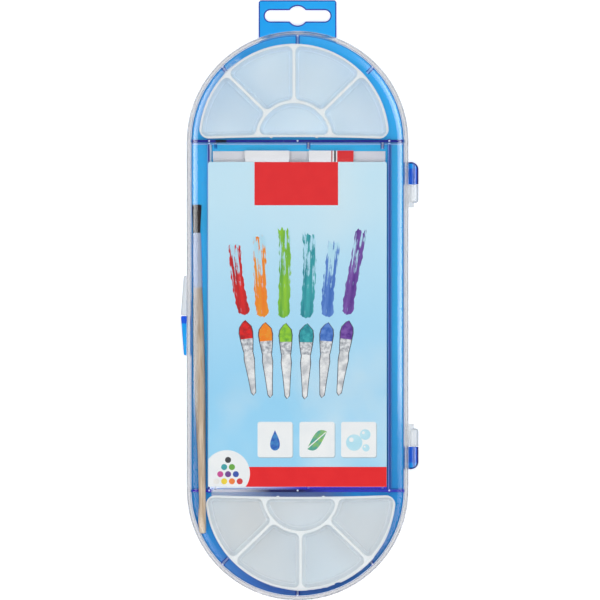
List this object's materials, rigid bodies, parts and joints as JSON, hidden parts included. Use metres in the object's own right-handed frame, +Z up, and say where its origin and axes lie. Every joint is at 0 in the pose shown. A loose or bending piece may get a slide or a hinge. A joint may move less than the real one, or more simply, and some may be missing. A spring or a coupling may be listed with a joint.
{
  "type": "tempera paint set",
  "caption": "Hinged stadium-shaped plastic case with a clear lid, holding paint tubes under a printed card, two mixing palettes and a brush.",
  "frame": {"origin": "middle of the tray's underside", "axes": "+Z up out of the lid, +Y along the case to the hang tab, +X to the hinge side"},
  "size_m": [0.1252, 0.3164, 0.022],
  "materials": {
    "tray_plastic": "gloss, slightly translucent",
    "lid_plastic": "clear gloss",
    "palette_plastic": "satin, opal white",
    "printed_card": "matte printed card",
    "tube_metal": "satin white lacquer",
    "cap_plastic": "satin",
    "handle_wood": "clear varnish",
    "ferrule_metal": "bright drawn",
    "bristle_hair": "fine dark hair"
  },
  "bodies": {
    "case": {"base_tray": "tray_plastic", "palette_upper": "palette_plastic", "palette_lower": "palette_plastic", "insert_card": "printed_card", "brush_handle": "handle_wood", "brush_ferrule": "ferrule_metal", "brush_bristles": "bristle_hair", "tube_01": "tube_metal", "tube_02": "tube_metal", "tube_03": "tube_metal", "tube_04": "tube_metal", "tube_05": "tube_metal", "tube_06": "tube_metal", "tube_07": "tube_metal", "tube_08": "tube_metal", "tube_09": "tube_metal", "tube_10": "tube_metal"},
    "lid": {"lid": "lid_plastic"},
    "screw_cap_01": {"cap_01": "cap_plastic"},
    "screw_cap_02": {"cap_02": "cap_plastic"},
    "screw_cap_03": {"cap_03": "cap_plastic"},
    "screw_cap_04": {"cap_04": "cap_plastic"},
    "screw_cap_05": {"cap_05": "cap_plastic"},
    "screw_cap_06": {"cap_06": "cap_plastic"},
    "screw_cap_07": {"cap_07": "cap_plastic"},
    "screw_cap_08": {"cap_08": "cap_plastic"},
    "screw_cap_09": {"cap_09": "cap_plastic"},
    "screw_cap_10": {"cap_10": "cap_plastic"}
  },
  "joints": [
    {"name": "lid_hinge", "type": "hinge", "parent": "case", "child": "lid", "pos_m": [0.0613, 0, 0.0111], "axis": [0, 1, 0], "range_deg": [0, 180]},
    {"name": "cap_turn_01", "type": "hinge", "parent": "case", "child": "screw_cap_01", "pos_m": [-0.033, 0.008, 0.0092], "axis": [0, -1, 0], "range_deg": [0, 720]},
    {"name": "cap_turn_02", "type": "hinge", "parent": "case", "child": "screw_cap_02", "pos_m": [-0.0161, 0.008, 0.0092], "axis": [0, -1, 0], "range_deg": [0, 720]},
    {"name": "cap_turn_03", "type": "hinge", "parent": "case", "child": "screw_cap_03", "pos_m": [0.0008, 0.008, 0.0092], "axis": [0, -1, 0], "range_deg": [0, 720]},
    {"name": "cap_turn_04", "type": "hinge", "parent": "case", "child": "screw_cap_04", "pos_m": [0.0177, 0.008, 0.0092], "axis": [0, -1, 0], "range_deg": [0, 720]},
    {"name": "cap_turn_05", "type": "hinge", "parent": "case", "child": "screw_cap_05", "pos_m": [0.0346, 0.008, 0.0092], "axis": [0, -1, 0], "range_deg": [0, 720]},
    {"name": "cap_turn_06", "type": "hinge", "parent": "case", "child": "screw_cap_06", "pos_m": [-0.033, -0.008, 0.0092], "axis": [0, 1, 0], "range_deg": [0, 720]},
    {"name": "cap_turn_07", "type": "hinge", "parent": "case", "child": "screw_cap_07", "pos_m": [-0.0161, -0.008, 0.0092], "axis": [0, 1, 0], "range_deg": [0, 720]},
    {"name": "cap_turn_08", "type": "hinge", "parent": "case", "child": "screw_cap_08", "pos_m": [0.0008, -0.008, 0.0092], "axis": [0, 1, 0], "range_deg": [0, 720]},
    {"name": "cap_turn_09", "type": "hinge", "parent": "case", "child": "screw_cap_09", "pos_m": [0.0177, -0.008, 0.0092], "axis": [0, 1, 0], "range_deg": [0, 720]},
    {"name": "cap_turn_10", "type": "hinge", "parent": "case", "child": "screw_cap_10", "pos_m": [0.0346, -0.008, 0.0092], "axis": [0, 1, 0], "range_deg": [0, 720]}
  ]
}
